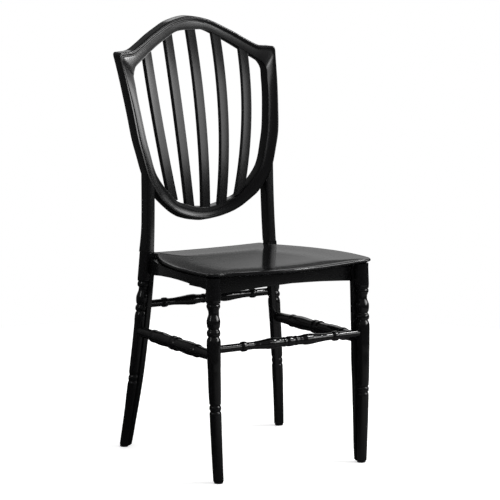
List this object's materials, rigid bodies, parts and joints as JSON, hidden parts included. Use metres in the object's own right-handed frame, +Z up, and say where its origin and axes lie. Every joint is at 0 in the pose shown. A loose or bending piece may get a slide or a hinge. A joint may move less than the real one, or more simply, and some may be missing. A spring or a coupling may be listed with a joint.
{
  "type": "shield back dining chair",
  "caption": "Black moulded dining chair with a shield-shaped back of five slats, turned legs and stretchers, and a dished seat panel.",
  "frame": {"origin": "on the floor, under the middle of the chair's bounding box", "axes": "+Z up, the front of the chair faces -Y, +X to the right of someone looking at the front of the chair"},
  "size_m": [0.4108, 0.4812, 0.92],
  "materials": {
    "moulded_black": "satin gloss black, moulded",
    "black_nylon": "matt black nylon, moulded",
    "zinc_steel": "bright zinc plated steel"
  },
  "bodies": {
    "root": {"seat_panel": "moulded_black", "front_apron": "moulded_black", "rear_apron": "moulded_black", "side_apron_left": "moulded_black", "side_apron_right": "moulded_black", "front_leg_left": "moulded_black", "front_leg_right": "moulded_black", "rear_leg_left": "moulded_black", "rear_leg_right": "moulded_black", "back_post_left": "moulded_black", "back_post_right": "moulded_black", "shield_frame": "moulded_black", "slat_outer_left": "moulded_black", "slat_inner_left": "moulded_black", "slat_centre": "moulded_black", "slat_inner_right": "moulded_black", "slat_outer_right": "moulded_black", "front_stretcher": "moulded_black", "rear_stretcher": "moulded_black", "side_stretcher_left": "moulded_black", "side_stretcher_right": "moulded_black", "corner_block_front_left": "black_nylon", "corner_block_front_right": "black_nylon", "corner_block_rear_left": "black_nylon", "corner_block_rear_right": "black_nylon", "corner_bolt_front_left": "zinc_steel", "corner_bolt_front_right": "zinc_steel", "corner_bolt_rear_left": "zinc_steel", "corner_bolt_rear_right": "zinc_steel", "seat_screw_front_left": "zinc_steel", "seat_screw_front_right": "zinc_steel", "seat_screw_rear_left": "zinc_steel", "seat_screw_rear_right": "zinc_steel", "foot_glide_front_left": "black_nylon", "foot_glide_front_right": "black_nylon", "foot_glide_rear_left": "black_nylon", "foot_glide_rear_right": "black_nylon", "post_dowel_left": "black_nylon", "post_dowel_right": "black_nylon", "shield_dowel_left": "black_nylon", "shield_dowel_right": "black_nylon"}
  },
  "joints": []
}
